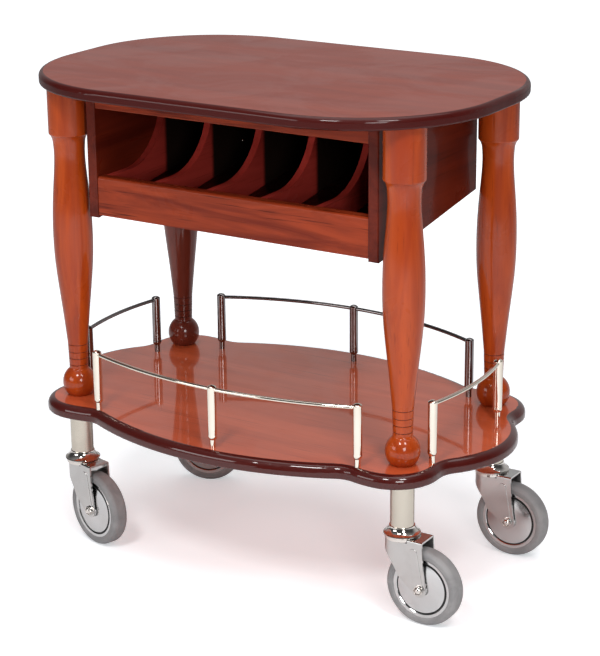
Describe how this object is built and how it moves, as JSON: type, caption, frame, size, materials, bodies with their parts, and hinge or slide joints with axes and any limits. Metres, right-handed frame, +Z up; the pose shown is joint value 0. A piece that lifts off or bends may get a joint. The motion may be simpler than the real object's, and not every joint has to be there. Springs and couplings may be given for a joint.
{
  "type": "food service trolley",
  "caption": "Oval-topped wooden serving trolley with a bottle rack under the top, turned legs, a lobed lower shelf with a low rail gallery, and swivel casters.",
  "frame": {"origin": "on the floor under the middle of the trolley", "axes": "+X along its length, -Y towards the open front of the bottle rack, +Z up"},
  "size_m": [0.841, 0.545, 0.82],
  "materials": {
    "top_wood": "glossy maroon varnish",
    "shelf_wood": "glossy red-brown varnish",
    "leg_wood": "glossy orange-brown varnish",
    "rack_wood": "glossy dark red-brown varnish",
    "divider_wood": "satin red-brown varnish",
    "rail_metal": "bright plated",
    "screw_steel": "polished",
    "tube_metal": "satin",
    "caster_metal": "bright plated",
    "fork_metal": "satin zinc plated",
    "hub_metal": "satin",
    "tyre": "matt grey rubber"
  },
  "bodies": {
    "frame": {"table_top": "top_wood", "shelf": "shelf_wood", "leg_front_left": "leg_wood", "leg_front_right": "leg_wood", "leg_rear_left": "leg_wood", "leg_rear_right": "leg_wood", "rack_side_left": "rack_wood", "rack_side_right": "rack_wood", "rack_back": "rack_wood", "rack_floor": "rack_wood", "rack_top_rail": "rack_wood", "rack_bottom_rail": "rack_wood", "bottle_divider_1": "divider_wood", "bottle_divider_2": "divider_wood", "bottle_divider_3": "divider_wood", "bottle_divider_4": "divider_wood", "bottle_rest_left": "divider_wood", "bottle_rest_right": "divider_wood", "rack_screw": "screw_steel", "rail_posts_front": "rail_metal", "rail_rod_front": "rail_metal", "rail_posts_back": "rail_metal", "rail_rod_back": "rail_metal", "rail_posts_left": "rail_metal", "rail_rod_left": "rail_metal", "rail_posts_right": "rail_metal", "rail_rod_right": "rail_metal", "caster_tube_front_left": "tube_metal", "caster_collar_front_left": "caster_metal", "caster_kingpin_front_left": "caster_metal", "caster_tube_front_right": "tube_metal", "caster_collar_front_right": "caster_metal", "caster_kingpin_front_right": "caster_metal", "caster_tube_rear_left": "tube_metal", "caster_collar_rear_left": "caster_metal", "caster_kingpin_rear_left": "caster_metal", "caster_tube_rear_right": "tube_metal", "caster_collar_rear_right": "caster_metal", "caster_kingpin_rear_right": "caster_metal"},
    "fork_front_left": {"caster_fork_front_left": "fork_metal", "caster_axle_front_left": "caster_metal", "caster_guards_front_left": "fork_metal"},
    "wheel_front_left": {"wheel_hub_front_left": "hub_metal", "wheel_tyre_front_left": "tyre"},
    "fork_front_right": {"caster_fork_front_right": "fork_metal", "caster_axle_front_right": "caster_metal", "caster_guards_front_right": "fork_metal"},
    "wheel_front_right": {"wheel_hub_front_right": "hub_metal", "wheel_tyre_front_right": "tyre"},
    "fork_rear_left": {"caster_fork_rear_left": "fork_metal", "caster_axle_rear_left": "caster_metal", "caster_guards_rear_left": "fork_metal"},
    "wheel_rear_left": {"wheel_hub_rear_left": "hub_metal", "wheel_tyre_rear_left": "tyre"},
    "fork_rear_right": {"caster_fork_rear_right": "fork_metal", "caster_axle_rear_right": "caster_metal", "caster_guards_rear_right": "fork_metal"},
    "wheel_rear_right": {"wheel_hub_rear_right": "hub_metal", "wheel_tyre_rear_right": "tyre"}
  },
  "joints": [
    {"name": "swivel_front_left", "type": "hinge", "parent": "frame", "child": "fork_front_left", "pos_m": [-0.315, -0.155, 0.138], "axis": [0, 0, 1], "continuous": true},
    {"name": "spin_front_left", "type": "hinge", "parent": "fork_front_left", "child": "wheel_front_left", "pos_m": [-0.27492, -0.16649, 0.0635], "axis": [0.2756, 0.9613, 0], "continuous": true},
    {"name": "swivel_front_right", "type": "hinge", "parent": "frame", "child": "fork_front_right", "pos_m": [0.315, -0.155, 0.138], "axis": [0, 0, 1], "continuous": true},
    {"name": "spin_front_right", "type": "hinge", "parent": "fork_front_right", "child": "wheel_front_right", "pos_m": [0.3567, -0.155, 0.0635], "axis": [0, 1, 0], "continuous": true},
    {"name": "swivel_rear_left", "type": "hinge", "parent": "frame", "child": "fork_rear_left", "pos_m": [-0.315, 0.155, 0.138], "axis": [0, 0, 1], "continuous": true},
    {"name": "spin_rear_left", "type": "hinge", "parent": "fork_rear_left", "child": "wheel_rear_left", "pos_m": [-0.27581, 0.16926, 0.0635], "axis": [-0.342, 0.9397, 0], "continuous": true},
    {"name": "swivel_rear_right", "type": "hinge", "parent": "frame", "child": "fork_rear_right", "pos_m": [0.315, 0.155, 0.138], "axis": [0, 0, 1], "continuous": true},
    {"name": "spin_rear_right", "type": "hinge", "parent": "fork_rear_right", "child": "wheel_rear_right", "pos_m": [0.3567, 0.155, 0.0635], "axis": [0, 1, 0], "continuous": true}
  ]
}
